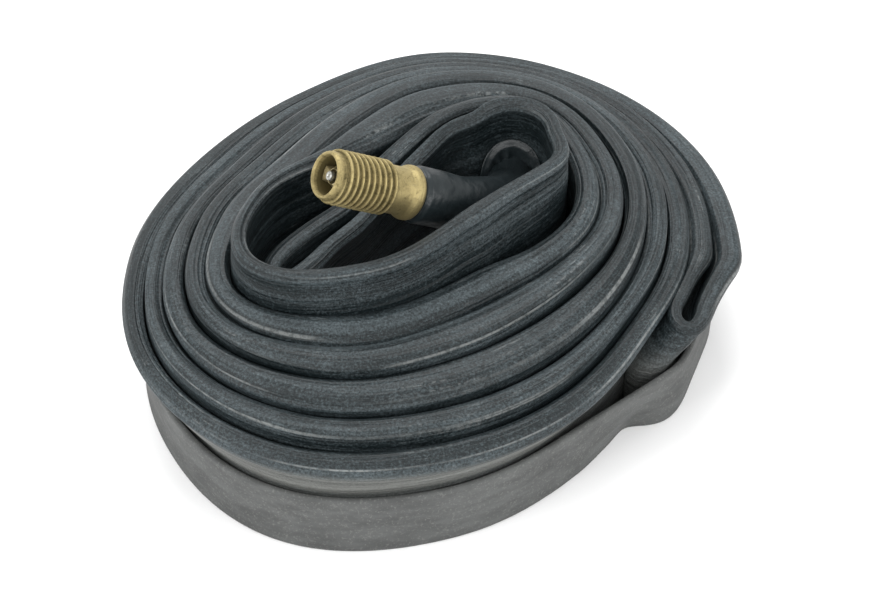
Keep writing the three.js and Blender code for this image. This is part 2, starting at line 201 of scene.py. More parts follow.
def skin(
    name: str,
    rings: np.ndarray,
    ends: Ends,
    u: Optional[np.ndarray] = None,
    v: Optional[np.ndarray] = None,
) -> bpy.types.Object:
    """Makes a mesh from rings of corners, each ring closed on itself.

    Args:
        name: Name of the piece.
        rings: Corners in millimetres, as ring by corner by axis.
        ends: What happens at the first and last ring.
        u: Map coordinate of each ring, with one more at the end of a loop.
        v: Map coordinate of each corner, with one more to close the ring.

    Returns:
        The new object, linked to the scene.
    """
    count, size, _ = rings.shape
    spans = count if ends is Ends.LOOP else count - 1
    i, j = np.meshgrid(np.arange(spans), np.arange(size), indexing="ij")
    i, j = i.ravel(), j.ravel()
    ni, nj = (i + 1) % count, (j + 1) % size
    quads = np.column_stack([i * size + j, i * size + nj, ni * size + nj, ni * size + j])
    corners = rings.reshape(-1, 3) * MM
    faces: List[Sequence[int]] = quads.tolist()
    if ends is Ends.CAPPED:
        faces.append(list(range(size))[::-1])
        faces.append(list(range((count - 1) * size, count * size)))
    mesh = bpy.data.meshes.new(name)
    mesh.from_pydata(corners.tolist(), [], faces)
    u = np.linspace(0.0, 1.0, spans + 1) if u is None else u
    v = np.linspace(0.0, 1.0, size + 1) if v is None else v
    layer = mesh.uv_layers.new(name="Run")
    uv = np.zeros((len(mesh.loops), 2))
    lo_u, hi_u, lo_v, hi_v = u[i], u[i + 1], v[j], v[j + 1]
    uv[: 4 * len(quads), 0] = np.column_stack([lo_u, lo_u, hi_u, hi_u]).ravel()
    uv[: 4 * len(quads), 1] = np.column_stack([lo_v, hi_v, hi_v, lo_v]).ravel()
    layer.data.foreach_set("uv", uv.ravel())
    mesh.polygons.foreach_set("use_smooth", [True] * len(mesh.polygons))
    mesh.validate()
    mesh.update()
    piece = bpy.data.objects.new(name, mesh)
    bpy.context.scene.collection.objects.link(piece)
    return piece


def face_outwards(piece: bpy.types.Object) -> None:
    """Turns a closed mesh's faces outwards if they face in."""
    mesh = piece.data
    mesh.calc_loop_triangles()
    corners = np.array([v.co for v in mesh.vertices])
    tris = np.array([t.vertices for t in mesh.loop_triangles])
    a, b, c = (corners[tris[:, k]] for k in range(3))
    if np.einsum("ij,ij->i", a, np.cross(b, c)).sum() < 0:
        mesh.flip_normals()


# --------------------------------------------------------------------------------------------- materials
class Sock:
    """A shader value that takes part in Python expressions."""

    def __init__(self, shader: "Shader", socket: Any) -> None:
        """Keeps the shader it belongs to and the node socket it wraps."""
        self.shader = shader
        self.socket = socket

    def _math(self, operation: str, *values: Any, clamp: bool = False) -> "Sock":
        """Adds one Math node for an operation on some values."""
        settings = {"operation": operation, "use_clamp": clamp}
        return self.shader.node("ShaderNodeMath", settings, dict(enumerate(values)))

    def __add__(self, other: Any) -> "Sock":
        """self + other."""
        return self._math("ADD", self, other)

    def __radd__(self, other: Any) -> "Sock":
        """other + self."""
        return self._math("ADD", other, self)

    def __sub__(self, other: Any) -> "Sock":
        """self - other."""
        return self._math("SUBTRACT", self, other)

    def __rsub__(self, other: Any) -> "Sock":
        """other - self."""
        return self._math("SUBTRACT", other, self)

    def __mul__(self, other: Any) -> "Sock":
        """self * other."""
        return self._math("MULTIPLY", self, other)

    def __rmul__(self, other: Any) -> "Sock":
        """other * self."""
        return self._math("MULTIPLY", other, self)

    def __truediv__(self, other: Any) -> "Sock":
        """self / other."""
        return self._math("DIVIDE", self, other)

    def __rtruediv__(self, other: Any) -> "Sock":
        """other / self."""
        return self._math("DIVIDE", other, self)

    def sin(self) -> "Sock":
        """Sine of the value, in radians."""
        return self._math("SINE", self)

    def cos(self) -> "Sock":
        """Cosine of the value, in radians."""
        return self._math("COSINE", self)

    def abs(self) -> "Sock":
        """Size of the value without its sign."""
        return self._math("ABSOLUTE", self)

    def clamped(self) -> "Sock":
        """The value held between 0 and 1."""
        return self._math("ADD", self, 0.0, clamp=True)

    def between(self, low: float, high: float) -> "Sock":
        """Rises smoothly from 0 at low to 1 at high."""
        return self.shader.node(
            "ShaderNodeMapRange",
            {"interpolation_type": "SMOOTHSTEP"},
            {"Value": self, "From Min": low, "From Max": high},
        )


class Shader:
    """One material under construction."""

    def __init__(self, name: str) -> None:
        """Starts an empty material with a principled surface."""
        self.material = bpy.data.materials.new(name)
        self.material.use_nodes = True
        self.tree = self.material.node_tree
        self.tree.nodes.clear()
        self.output = self.tree.nodes.new("ShaderNodeOutputMaterial")
        self.surface = self.tree.nodes.new("ShaderNodeBsdfPrincipled")
        self.tree.links.new(self.surface.outputs["BSDF"], self.output.inputs["Surface"])

    def node(
        self, kind: str, settings: Dict[str, Any], sockets: Dict[Any, Any], out: Any = 0
    ) -> Sock:
        """Adds a node.

        Args:
            kind: Type of the node.
            settings: Its settings, set before its sockets; "stops" fills a colour ramp.
            sockets: Values or links for its inputs, by name or place.
            out: Which output to hand back.

        Returns:
            That output.
        """
        made = self.tree.nodes.new(kind)
        for key, value in settings.items():
            if key == "stops":
                self._fill_ramp(made.color_ramp, value)
            else:
                setattr(made, key, value)
        for key, value in sockets.items():
            self._feed(made.inputs[key], value)
        return Sock(self, made.outputs[out])

    def _fill_ramp(self, ramp: Any, stops: Sequence[Tuple[float, Sequence[float]]]) -> None:
        """Puts stops of position and colour on a colour ramp."""
        while len(ramp.elements) < len(stops):
            ramp.elements.new(1.0)
        for element, (position, colour) in zip(ramp.elements, stops):
            element.position = position
            element.color = (*colour, 1.0) if len(colour) == 3 else colour

    def _feed(self, target: Any, value: Any) -> None:
        """Links or sets one input."""
        if isinstance(value, Sock):
            self.tree.links.new(value.socket, target)
        elif isinstance(value, (tuple, list)) and len(value) == 3 and target.type == "RGBA":
            target.default_value = (*value, 1.0)
        else:
            target.default_value = value

    def set(self, **values: Any) -> "Shader":
        """Sets or links inputs of the surface, with underscores for spaces in their names."""
        for key, value in values.items():
            self._feed(self.surface.inputs[key.replace("_", " ")], value)
        return self

    def mix(self, factor: Any, low: Any, high: Any) -> Sock:
        """Mixes two colours, factor being the share of the second."""
        made = self.tree.nodes.new("ShaderNodeMix")
        made.data_type = "RGBA"
        made.clamp_factor = True
        for key, value in ((0, factor), (6, low), (7, high)):
            self._feed(made.inputs[key], value)
        return Sock(self, made.outputs[2])

    def place(self) -> Sock:
        """Position on the object, in metres."""
        return self.node("ShaderNodeTexCoord", {}, {}, "Object")

    def run(self) -> Tuple[Sock, Sock]:
        """Places along and across a swept piece, from its map."""
        uv = self.node("ShaderNodeUVMap", {"uv_map": "Run"}, {})
        split = self.tree.nodes.new("ShaderNodeSeparateXYZ")
        self.tree.links.new(uv.socket, split.inputs[0])
        return Sock(self, split.outputs[0]), Sock(self, split.outputs[1])

    def height_of(self, vector: Sock) -> Sock:
        """Height of a position."""
        return self.node("ShaderNodeSeparateXYZ", {}, {0: vector}, 2)

    def joined(self, x: Any, y: Any, z: Any) -> Sock:
        """A vector from three values."""
        return self.node("ShaderNodeCombineXYZ", {}, {0: x, 1: y, 2: z})

    def scaled(self, vector: Sock, factor: Any) -> Sock:
        """A vector times a number, or times another vector axis by axis."""
        if isinstance(factor, (int, float, Sock)):
            return self.node("ShaderNodeVectorMath", {"operation": "SCALE"}, {0: vector, "Scale": factor})
        return self.node("ShaderNodeVectorMath", {"operation": "MULTIPLY"}, {0: vector, 1: factor})

    def noise(self, vector: Sock, scale: float, detail: float = 3.0, rough: float = 0.5) -> Sock:
        """Cloudy noise.

        Args:
            vector: Where it is read.
            scale: Cells for each unit of the vector.
            detail: Octaves.
            rough: Strength of the finer octaves.

        Returns:
            A value about 0.5.
        """
        return self.node(
            "ShaderNodeTexNoise",
            {},
            {"Vector": vector, "Scale": scale, "Detail": detail, "Roughness": rough},
        )

    def bump(self, height: Sock, distance: float, strength: float = 1.0, onto: Any = None) -> Sock:
        """Relief from a height.

        Args:
            height: Height between 0 and 1.
            distance: Depth in metres of a height of 1.
            strength: How much of it shows.
            onto: An earlier relief that this one is laid on.

        Returns:
            The bent normal.
        """
        sockets: Dict[Any, Any] = {"Height": height, "Distance": distance, "Strength": strength}
        if onto is not None:
            sockets["Normal"] = onto
        return self.node("ShaderNodeBump", {}, sockets)


@dataclass(frozen=True)
class Butyl:
    """Pressed butyl sheet with streaks drawn along it and talc rubbed on to its folds, with painted highlights as
    thin pale lines along the folds' shoulders.

    Attributes:
        length: Length of the loop, in millimetres.
        girth: Length round a section, in millimetres.
        crest: Where the fold's top lies round the section, as a share of the map's height.
        dark: Colour of clean butyl.
        pale: Colour of dusty butyl.
        talc_and_highlight: Colour of talc, also used for the painted highlight lines along the folds' shoulders.
        dust: Colour of the dust low on the outside, also laid on a ledge above the band as part dust and part
            painted light on its upturned face.
    """

    length: float
    girth: float
    crest: float
    dark: Point = (0.0055, 0.0098, 0.0112)
    pale: Point = (0.054, 0.069, 0.075)
    talc_and_highlight: Point = (0.3, 0.315, 0.31)
    dust: Point = (0.2, 0.203, 0.19)

    def make(self) -> bpy.types.Material:
        """Builds the material."""
        s = Shader("butyl")
        u, v = s.run()
        angle = u * TURN
        radius = self.length / TURN
        across = v * self.girth
        ring_x, ring_y = angle.cos() * radius, angle.sin() * radius

        def streaks(along_mm: float, across_mm: float, detail: float) -> Sock:
            """Noise drawn out along the tube."""
            place = s.joined(ring_x / along_mm, ring_y / along_mm, across / across_mm)
            return s.noise(place, 1.0, detail, 0.6)

        place = s.place()
        broad = streaks(70.0, 2.2, 3.0)
        fine = streaks(16.0, 0.45, 4.0)
        hair = streaks(6.0, 0.16, 3.0)
        seam = streaks(110.0, 0.9, 2.0)
        patchy = s.noise(place, 90.0, 4.0, 0.6)
        grain = s.noise(place, 3000.0, 2.0, 0.75)
        speck = s.noise(place, 1300.0, 3.0, 0.65)
        off_crest = (v - self.crest) * self.girth
        crest = 1.0 - off_crest.abs().between(0.4, 3.6)
        # Painted highlight: thin pale lines along both shoulders of every fold stand in for light caught on the
        # folds' edges.
        edge = 1.0 - (off_crest.abs() - 1.75 - (seam - 0.5) * 1.2).abs().between(0.04, 0.26)
        dusty = broad.between(0.44, 0.62) * 0.5 + patchy.between(0.4, 0.66) * 0.24 + crest * 0.1 - 0.06
        dusty = (dusty + (grain - 0.5) * 1.7 + (hair - 0.5) * 0.55).clamped()
        colour = s.mix(dusty, self.dark, self.pale)
        colour = s.scaled(colour, 1.0 + (grain - 0.5) * 2.2)
        rubbed = fine.between(0.54, 0.74) * speck.between(0.44, 0.6) * (crest * 0.8 + 0.14)
        rubbed = rubbed * (patchy.between(0.4, 0.62) * 0.9 + 0.1)
        line = edge * streaks(30.0, 4.0, 2.0).between(0.46, 0.62) * (speck.between(0.38, 0.56) * 0.55 + 0.45)
        # The talc colour is real talc on the rubbed scuffs and a painted highlight on the edge lines.
        colour = s.mix((rubbed * 0.5 + line * 0.5).clamped(), colour, self.talc_and_highlight)
        height = s.height_of(place)
        # Dust and painted light: at the front, the outermost strand's upturned face just above the band is paled
        # with the dust colour, part dust and part painted light on a face turned up.
        front = u.between(0.1, 0.125) * (1.0 - u.between(0.175, 0.2))
        ledge_dust_and_light = front * height.between(0.0104, 0.0112) * (1.0 - height.between(0.0132, 0.0149))
        colour = s.mix((ledge_dust_and_light * (0.62 + (broad - 0.5) * 0.8 + (grain - 0.5) * 0.6)).clamped(), colour, self.dust)
        low = (1.0 - height.between(0.009, 0.0135)) * (u.between(0.94, 0.985) + (1.0 - u.between(0.2, 0.22)))
        colour = s.mix((low * (0.4 + (grain - 0.5) * 0.5)).clamped(), colour, self.dust)
        rough = 0.46 + dusty * 0.14 + rubbed * 0.2 + (hair - 0.5) * 0.12
        normal = s.bump(seam, 0.0011, 0.5)
        normal = s.bump(streaks(24.0, 0.8, 3.0), 0.0005, 0.4, normal)
        normal = s.bump(hair, 0.00014, 0.4, normal)
        normal = s.bump(grain, 0.0001, 0.45, normal)
        s.set(Base_Color=colour, Roughness=rough, Normal=normal)
        s.set(Specular_IOR_Level=0.32)
        return s.material


@dataclass(frozen=True)
class BandRubber:
    """Matt moulded rubber of the band, warm grey with dust."""

    dark: Point = (0.058, 0.06, 0.059)
    pale: Point = (0.112, 0.116, 0.114)

    def make(self) -> bpy.types.Material:
        """Builds the material."""
        s = Shader("band_rubber")
        place = s.place()
        drawn = s.scaled(place, (1.0, 1.0, 3.2))
        cloudy = s.noise(drawn, 60.0, 4.0, 0.6)
        smear = s.noise(drawn, 240.0, 3.0, 0.55)
        grain = s.noise(place, 2600.0, 2.0, 0.7)
        share = (cloudy.between(0.3, 0.7) * 0.6 + smear.between(0.35, 0.7) * 0.25).clamped()
        colour = s.mix(share, self.dark, self.pale)
        colour = s.mix((grain.between(0.52, 0.72) * 0.3).clamped(), colour, (0.24, 0.24, 0.225))
        normal = s.bump(smear, 0.0003, 0.2)
        normal = s.bump(grain, 0.00008, 0.3, normal)
        s.set(Base_Color=colour, Roughness=0.66 + cloudy * 0.16, Normal=normal)
        s.set(Specular_IOR_Level=0.3)
        return s.material


@dataclass(frozen=True)
class MouldedRubber:
    """Smooth black rubber of the valve, slightly glossy, with pale patches painted into its colour as sheen."""

    dark: Point = (0.011, 0.016, 0.018)
    pale: Point = (0.03, 0.039, 0.041)

    def make(self) -> bpy.types.Material:
        """Builds the material."""
        s = Shader("valve_rubber")
        place = s.place()
        cloudy = s.noise(place, 160.0, 4.0, 0.6)
        pale_patches = s.noise(place, 420.0, 4.0, 0.65)
        grain = s.noise(place, 2800.0, 2.0, 0.6)
        # Painted sheen: pale patches mixed into the dark rubber stand in for the glossy reflections on the sleeve
        # and patch.
        share = pale_patches.between(0.46, 0.8) * 0.6 + (grain - 0.5) * 0.7
        colour = s.mix(share.clamped(), self.dark, self.pale)
        normal = s.bump(s.noise(place, 230.0, 2.0), 0.0012, 0.6)
        normal = s.bump(pale_patches, 0.0004, 0.4, normal)
        normal = s.bump(grain, 0.00005, 0.25, normal)
        s.set(Base_Color=colour, Roughness=0.24 + cloudy * 0.26, Normal=normal)
        s.set(Specular_IOR_Level=0.38)
        return s.material


@dataclass(frozen=True)
class Brass:
    """Machined brass, with a dull skin that has worn off its high edges.

    Attributes:
        bright: Colour of clean brass.
        dull: Colour of tarnished brass.
        rough: Roughness of clean brass.
        groove: A point on the axis of a thread and the axis, if grime lies in the thread's grooves.
    """

    bright: Point = (0.42, 0.345, 0.165)
    dull: Point = (0.1, 0.08, 0.03)
    rough: float = 0.56
    groove: Optional[Tuple[Point, Point]] = None

    def make(self, name: str) -> bpy.types.Material:
        """Builds the material.

        Args:
            name: Name of the material.

        Returns:
            The material.
        """
        s = Shader(name)
        place = s.place()
        cloudy = s.noise(place, 420.0, 4.0, 0.65)
        blast = s.noise(place, 3600.0, 2.0, 0.7)
        pits = s.noise(place, 1500.0, 3.0, 0.6)
        tarnish = cloudy.between(0.4, 0.75) * 0.5 + pits.between(0.55, 0.72) * 0.45 + (blast - 0.5) * 0.9
        if self.groove is not None:
            mouth, axis = self.groove
            off = s.node("ShaderNodeVectorMath", {"operation": "SUBTRACT"}, {0: place, 1: mouth})
            cross = s.node("ShaderNodeVectorMath", {"operation": "CROSS_PRODUCT"}, {0: off, 1: axis})
            radius = s.node("ShaderNodeVectorMath", {"operation": "LENGTH"}, {0: cross}, "Value")
            depth = s.node("ShaderNodeVectorMath", {"operation": "DOT_PRODUCT"}, {0: off, 1: axis}, "Value")
            inside = radius.between(0.0026, 0.003)
            sunk = depth.between(0.0006, 0.0012) * (1.0 - depth.between(0.0098, 0.0104))
            tarnish = tarnish + (1.0 - radius.between(0.00342, 0.00368)) * sunk * 0.75 + (1.0 - inside) * 0.6
        tarnish = tarnish.clamped()
        colour = s.mix(tarnish, self.bright, self.dull)
        colour = s.mix((blast.between(0.55, 0.75) * 0.35 * (1.0 - tarnish)).clamped(), colour, (0.8, 0.7, 0.44))
        normal = s.bump(blast, 0.00008, 0.5)
        normal = s.bump(pits, 0.00012, 0.3, normal)
        s.set(Base_Color=colour, Roughness=self.rough + tarnish * 0.3, Normal=normal)
        s.set(Metallic=0.92 - tarnish * 0.3)
        return s.material


@dataclass(frozen=True)
class Steel:
    """Plain satin steel of the pin and its spring."""

    bright: Point = (0.5, 0.5, 0.47)
    dull: Point = (0.22, 0.22, 0.2)

    def make(self) -> bpy.types.Material:
        """Builds the material."""
        s = Shader("pin_steel")
        place = s.place()
        cloudy = s.noise(place, 900.0, 4.0, 0.6)
        grain = s.noise(place, 4200.0, 2.0, 0.6)
        tarnish = cloudy.between(0.4, 0.75)
        s.set(Base_Color=s.mix(tarnish, self.bright, self.dull), Roughness=0.35 + tarnish * 0.25)
        s.set(Normal=s.bump(grain, 0.00004, 0.4), Metallic=0.9)
        return s.material


@dataclass(frozen=True)
class SealRubber:
    """Black sealing rubber inside the valve."""

    dark: Point = (0.012, 0.012, 0.012)
    pale: Point = (0.035, 0.035, 0.033)

    def make(self) -> bpy.types.Material:
        """Builds the material."""
        s = Shader("seal_rubber")
        place = s.place()
        pale_patches = s.noise(place, 900.0, 3.0, 0.6)
        s.set(Base_Color=s.mix(pale_patches.between(0.4, 0.8), self.dark, self.pale), Roughness=0.5 + pale_patches * 0.2)
        s.set(Normal=s.bump(s.noise(place, 3600.0, 2.0), 0.00004, 0.3))
        return s.material


@dataclass(frozen=True)
class PaleFloor:
    """Matt pale surface that the roll stands on."""

    colour: Point = (0.93, 0.93, 0.93)

    def make(self) -> bpy.types.Material:
        """Builds the material."""
        s = Shader("pale_floor")
        fibre = s.noise(s.place(), 140.0, 3.0, 0.6)
        s.set(Base_Color=s.mix(fibre, self.colour, (0.95, 0.95, 0.95)), Roughness=0.9)
        s.set(Specular_IOR_Level=0.1)
        return s.material


# --------------------------------------------------------------------------------------------- the roll
@dataclass
class Section:
    """A strand's section at every place along the tube: two leaves pressed together, folded over at the top.

    Attributes:
        side_steps: Corners up each side.
        crest_steps: Corners over the fold.
        slit: Height of the gap between the two leaves' edges, in millimetres.
    """

    side_steps: int = 15
    crest_steps: int = 25
    slit: float = 3.2

    def corners(self, thickness: np.ndarray, crest: np.ndarray) -> Tuple[np.ndarray, np.ndarray]:
        """Places of the section's corners.

        Args:
            thickness: Thickness of the strand at each place.
            crest: Height of its fold at each place.

        Returns:
            Distances to the right of the strand's middle and heights, both as place by corner.
        """
        half = thickness[:, None] / 2
        top = crest[:, None]
        bulb = np.minimum(1.25 * half, 2.6)
        neck = top - bulb
        foot = 0.9
        rise = np.linspace(0.0, 1.0, self.side_steps)[None, :]
        side_z = foot + (neck - foot) * rise
        waist = 0.9 + 0.1 * smooth((side_z - neck + 3.0) / 3.0)
        side_a = half * waist
        theta = np.linspace(0.0, math.pi, self.crest_steps + 2)[None, 1:-1]
        lobe = np.sign(np.cos(theta)) * np.abs(np.cos(theta)) ** 0.85
        crest_a = half * lobe
        crest_z = neck + bulb * np.sin(theta) ** 0.92
        edge = np.array([0.9, 0.62, 0.3, 0.1, 0.05, 0.05])
        edge_z = np.array([0.32, 0.0, 0.0, 0.45, 1.2, self.slit])
        ones = np.ones_like(half)
        across = np.hstack([half * edge[None, ::-1], side_a, crest_a, -side_a[:, ::-1], -half * edge[None, :]])
        height = np.hstack(
            [ones * edge_z[::-1], side_z * ones, crest_z * ones, (side_z * ones)[:, ::-1], ones * edge_z]
        )
        return across, height


@dataclass
class Roll:
    """The pressed tube: one closed loop wound double, with a bend at each end of the pair of strands.

    Attributes:
        middle: Middle of the winding, in the part's frame.
        lead: Distance of the leading strand's outer face from the middle, every 30 degrees wound.
        shared: Distance of the face between the leading and the trailing strand.
        lead_end: Degrees wound when the leading strand leaves the spiral.
        trail_end: The same for the trailing strand.
        lead_crest: Height of the leading strand's fold, every 90 degrees wound.
        trail_crest: The same for the trailing strand.
        flare: How far the outermost fold leans out over its foot, every 30 degrees.
        flare_fade: Degrees of winding over which the lean dies away towards the middle.
        flare_foot: Height below which the whole lean applies.
        flare_head: Height above which there is none.
        outer_bend: x, y, crest, thickness and foot shift in x and y along the outer bend.
        inner_run: x, y, crest and thickness from the leading strand's end to the pocket.
        pocket: x and y of the pocket's middle, and its radius.
        pocket_sweep: Directions in degrees where the pocket starts and ends.
        pocket_wall: Height and thickness of its wall.
        pocket_run: Like inner_run, from the pocket to the trailing strand, some with a top shift in x and y.
        top_lean: Degrees wound where the trailing strand's top starts and ends its lean inwards, and how far.
        creases: Distance from the crest, width and height of each crease along the tube.
        step: Spacing of the sections along the tube.
    """

    middle: Tuple[float, float] = (0.19, -2.33)
    lead: Tuple[float, ...] = (
        44.4, 46.0, 46.9, 46.4, 42.0, 41.2, 43.9, 46.4, 45.0, 40.0, 36.2, 33.6,
        36.2, 39.1, 40.9, 39.8, 35.6, 34.2, 37.6, 40.2, 36.9, 31.4, 28.2, 27.8,
        29.8, 33.0, 35.2, 33.0, 28.4, 26.8, 30.6, 34.0, 27.8, 20.4, 17.6, 18.8,
        22.6, 25.0, 27.0, 20.6, 15.6, 17.0, 23.6, 28.6, 20.6, 12.8, 9.6,
    )
    shared: Tuple[float, ...] = (
        40.0, 42.2, 43.9, 43.1, 39.0, 37.7, 40.7, 43.2, 40.9, 35.8, 32.4, 30.6,
        33.0, 36.1, 38.0, 36.4, 32.0, 30.4, 34.2, 37.0, 32.4, 25.9, 22.8, 23.1,
        26.3, 29.2, 31.2, 28.0, 22.2, 20.4, 26.2, 30.9, 23.0, 15.4, 12.5, 14.8,
        18.9, 21.4, 23.6,
    )
    lead_end: float = 1140.0
    trail_end: float = 1020.0
    lead_crest: Tuple[float, ...] = (
        15.6, 16.0, 16.3, 16.6, 17.6, 19.3, 20.0, 20.8, 22.0, 23.6, 23.6, 24.2, 25.0, 26.5,
    )
    trail_crest: Tuple[float, ...] = (
        16.6, 17.4, 18.0, 18.8, 19.6, 21.0, 21.8, 22.8, 24.0, 25.0, 27.8, 31.0, 31.0,
    )
    flare: Tuple[float, ...] = (5.0, 3.0, 2.0, 1.5, 1.5, 2.0, 3.2, 4.0, 1.0, 1.3, 3.2, 3.8, 5.0, 3.0, 2.0)
    flare_fade: float = 1080.0
    flare_foot: float = 9.5
    flare_head: float = 15.0
    outer_bend: Tuple[Tuple[float, ...], ...] = (
        (36.5, -3.9, 16.4, 2.4, -3.6, -0.6), (34.8, -7.9, 16.3, 2.3, -4.4, -1.4),
        (33.4, -11.3, 16.0, 2.2, -5.8, -2.4), (33.7, -13.6, 15.9, 2.1, -6.4, -3.0),
        (35.3, -14.6, 15.8, 2.1, -5.0, -3.2), (36.8, -12.7, 15.7, 2.4, -4.2, -2.4),
        (38.2, -8.6, 15.6, 3.0, -3.9, -1.2), (40.2, -4.2, 15.6, 3.4, -4.2, -0.5),
    )
    inner_run: Tuple[Tuple[float, ...], ...] = (
        (8.3, 21.6, 26.5, 3.0), (4.5, 20.4, 26.6, 3.0), (0.3, 17.9, 26.4, 3.0), (-4.0, 13.9, 25.4, 3.0),
        (-7.8, 9.8, 24.2, 2.8), (-12.2, 3.9, 22.5, 2.8), (-17.3, -0.4, 21.8, 2.8), (-21.6, -5.2, 21.4, 2.6),
        (-23.0, -8.6, 21.2, 2.2), (-21.2, -10.4, 21.2, 2.2),
        (-18.3, -8.2, 21.2, 2.4), (-14.6, -3.2, 21.4, 2.2), (-11.0, 0.6, 21.8, 2.2), (-8.0, 4.6, 22.8, 2.0),
        (-5.0, 8.4, 24.2, 2.0), (-1.7, 11.6, 25.8, 2.0), (1.4, 14.0, 27.6, 2.0), (3.9, 14.2, 29.0, 2.0),
        (5.7, 13.7, 30.0, 1.8),
    )
    pocket: Tuple[float, ...] = (11.0, 10.4, 5.9)
    pocket_sweep: Tuple[float, float] = (135.0, -5.0)
    pocket_wall: Tuple[float, float] = (30.8, 2.0)
    pocket_run: Tuple[Tuple[float, ...], ...] = (
        (17.6, 7.6, 31.0, 2.0), (17.8, 5.2, 31.0, 2.1), (17.2, 3.0, 31.0, 2.2, -0.4, 0.4),
        (15.4, 0.3, 31.0, 2.3, -1.0, 0.9), (11.4, -3.9, 31.0, 2.4, -1.4, 1.4),
    )
    top_lean: Tuple[float, float, float] = (890.0, 970.0, 2.0)
    creases: Tuple[Tuple[float, float, float], ...] = (
        (-4.6, 0.5, -0.3), (-2.4, 0.42, 0.3), (-0.6, 0.5, -0.28), (1.3, 0.42, 0.3), (3.4, 0.5, -0.3),
        (5.6, 0.5, 0.22),
    )
    step: float = 1.1

    def _flare_at(self, wound: np.ndarray, depth: np.ndarray) -> np.ndarray:
        """Lean of a face after so many degrees of winding, fading with its depth in the roll."""
        return along(self.flare, (wound % 360.0) / 30.0) * np.clip(1.0 - depth / self.flare_fade, 0.0, 1.0)

    def _wound(self, wound: np.ndarray, trailing: bool) -> np.ndarray:
        """Rows for a wound stretch.

        Args:
            wound: Degrees of winding.
            trailing: Whether it is the trailing strand.

        Returns:
            Rows of x, y, crest, thickness, foot shift in x and y, narrowing at the foot, top shift in x and y.
        """
        place = wound / 30.0
        if trailing:
            outer, inner = along(self.shared, place), along(self.lead, place + 12.0)
            crest, depth = along(self.trail_crest, wound / 90.0), wound + 180.0
        else:
            outer, inner = along(self.lead, place), along(self.shared, place)
            crest, depth = along(self.lead_crest, wound / 90.0), wound
        outer_lean, inner_lean = self._flare_at(wound, depth), self._flare_at(wound, depth + 180.0)
        lean = (outer_lean + inner_lean) / 2
        start, full, most = self.top_lean
        top = -most * smooth((wound - start) / (full - start)) * float(trailing)
        angle = np.radians(wound)
        reach = (outer + inner) / 2
        return np.column_stack([
            reach * np.cos(angle), reach * np.sin(angle), crest, outer - inner - 0.12,
            -lean * np.cos(angle), -lean * np.sin(angle), outer_lean - inner_lean,
            top * np.cos(angle), top * np.sin(angle),
        ])

    def _free(
        self,
        points: Sequence[Sequence[float]],
        before: np.ndarray,
        after: np.ndarray,
        at_foot: bool = False,
    ) -> np.ndarray:
        """Rows for a free stretch between two others.

        Args:
            points: x, y, crest and thickness along it, and perhaps a lean in x and y.
            before: Last two rows of the stretch before it.
            after: First two rows of the stretch after it.
            at_foot: Whether the lean shifts the foot rather than the top.

        Returns:
            Rows like those of a wound stretch.
        """
        still = (0.0, 0.0)
        middle = []
        for p in points:
            lean = p[4:] or still
            foot, top = (lean, still) if at_foot else (still, lean)
            middle.append([*p[:4], *foot, 0.0, *top])
        return curve_through(np.vstack([before, middle, after]), 12)[1:-1]

    def rows(self) -> np.ndarray:
        """The whole tube, once round its loop.

        Returns:
            Evenly spaced, smoothed rows, with the columns of a wound stretch.
        """
        lead = self._wound(np.arange(0.0, self.lead_end + 1, 2.0), False)
        trail = self._wound(np.arange(self.trail_end, -1.0, -2.0), True)
        x, y, radius = self.pocket
        height, wall = self.pocket_wall
        sweep = np.radians(np.linspace(*self.pocket_sweep, 40))
        flat = np.zeros_like(sweep)
        pocket = np.column_stack([
            x + radius * np.cos(sweep), y + radius * np.sin(sweep), flat + height, flat + wall, flat, flat, flat,
            flat, flat,
        ])
        inner = self._free(self.inner_run, lead[[-4, -1]], pocket[[0, 3]])
        gap = self._free(self.pocket_run, pocket[[-4, -1]], trail[[0, 3]])
        bend = self._free(self.outer_bend, trail[[-4, -1]], lead[[0, 3]], True)
        joined = resample_loop(np.vstack([lead, inner, pocket, gap, trail, bend]), self.step)
        return blur_loop(joined, 0.9)

    def place_corners(self, rows: np.ndarray, across: np.ndarray, height: np.ndarray) -> np.ndarray:
        """Turns section corners into points of the part.

        Args:
            rows: The tube's rows.
            across: Distance of each corner to the right of the strand's middle.
            height: Height of each corner.

        Returns:
            Points as place by corner by axis, in millimetres.
        """
        heading = np.roll(rows[:, :2], -1, axis=0) - np.roll(rows[:, :2], 1, axis=0)
        heading /= np.linalg.norm(heading, axis=1, keepdims=True)
        right = np.column_stack([heading[:, 1], -heading[:, 0]])
        right = blur_loop(right, 1.2)
        right /= np.linalg.norm(right, axis=1, keepdims=True)
        fall = 1.0 - smooth((height - self.flare_foot) / (self.flare_head - self.flare_foot))
        rise = smooth((height - 20.0) / 11.0)
        narrow = 1.0 - fall * (rows[:, 6] / rows[:, 3])[:, None]
        reach = across * narrow
        x = rows[:, 0, None] + right[:, 0, None] * reach + rows[:, 4, None] * fall + rows[:, 7, None] * rise
        y = rows[:, 1, None] + right[:, 1, None] * reach + rows[:, 5, None] * fall + rows[:, 8, None] * rise
        x, y = x + self.middle[0], y + self.middle[1]
        return np.stack([x, y, height], axis=-1)

